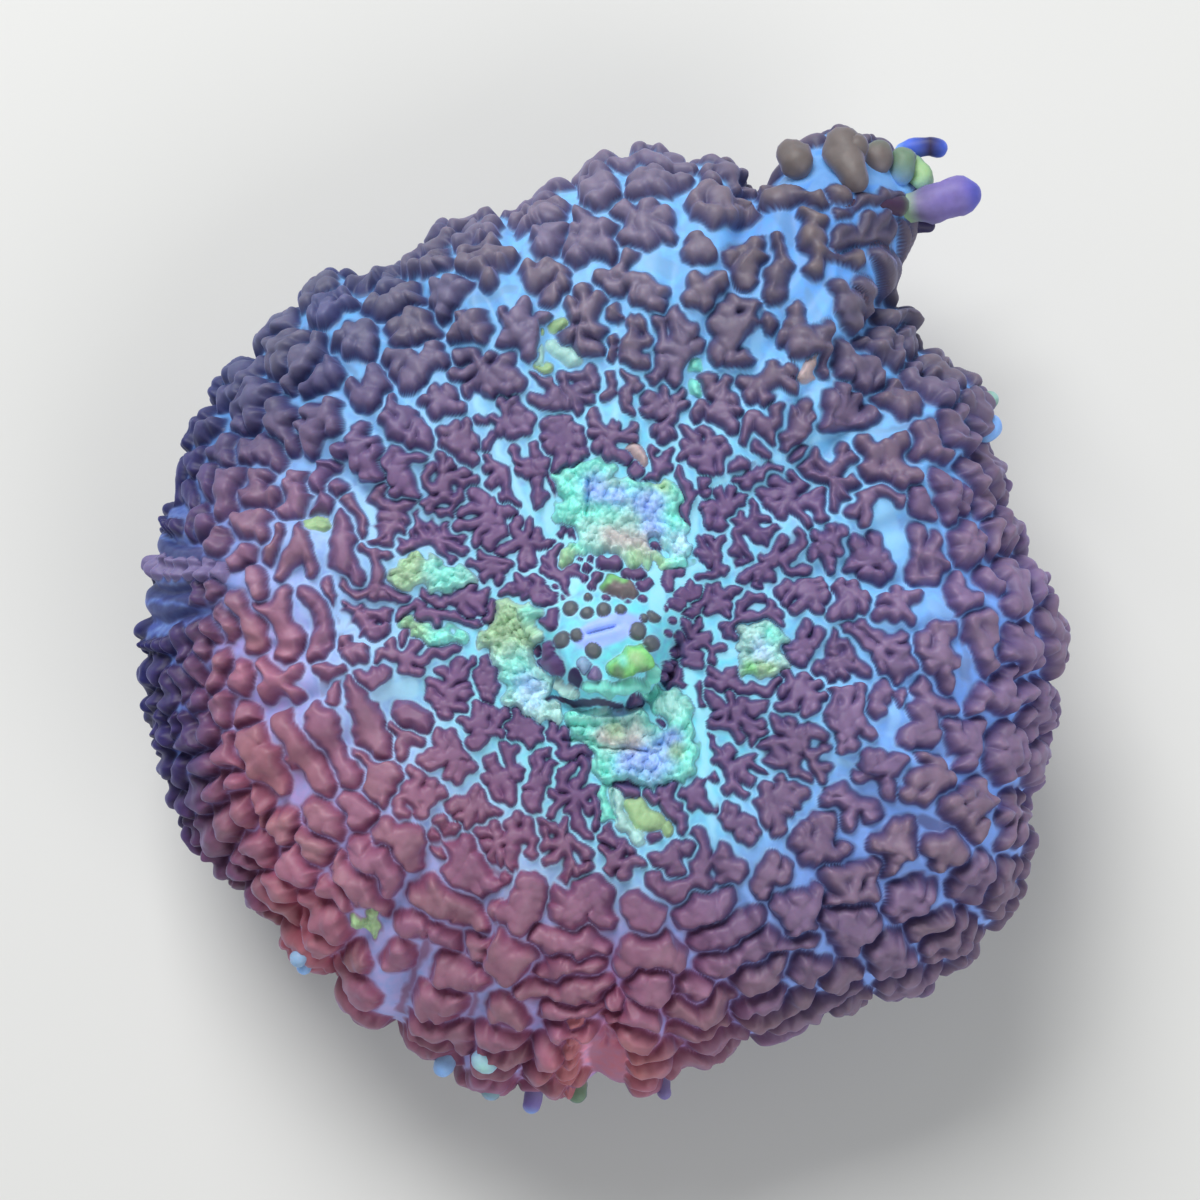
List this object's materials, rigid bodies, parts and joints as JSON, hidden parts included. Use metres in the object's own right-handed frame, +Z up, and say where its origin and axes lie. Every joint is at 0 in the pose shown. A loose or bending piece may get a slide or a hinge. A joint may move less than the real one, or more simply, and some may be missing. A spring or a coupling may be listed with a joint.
{
  "type": "mushroom coral",
  "caption": "Soft mushroom coral polyp: a broad drooping disc packed with tubercles round an oval mouth cone, on a short column cut off flat.",
  "frame": {"origin": "centre of the flat cut under the foot, below the mouth", "axes": "+Z up through the disc, +X towards the picture's right, +Y towards the picture's top"},
  "size_m": [0.0843, 0.0873, 0.035],
  "materials": {
    "flesh": "soft, wet, wine-coloured tubercles on cyan-blue skin, satin"
  },
  "bodies": {
    "root": {"polyp": "flesh"}
  },
  "joints": []
}
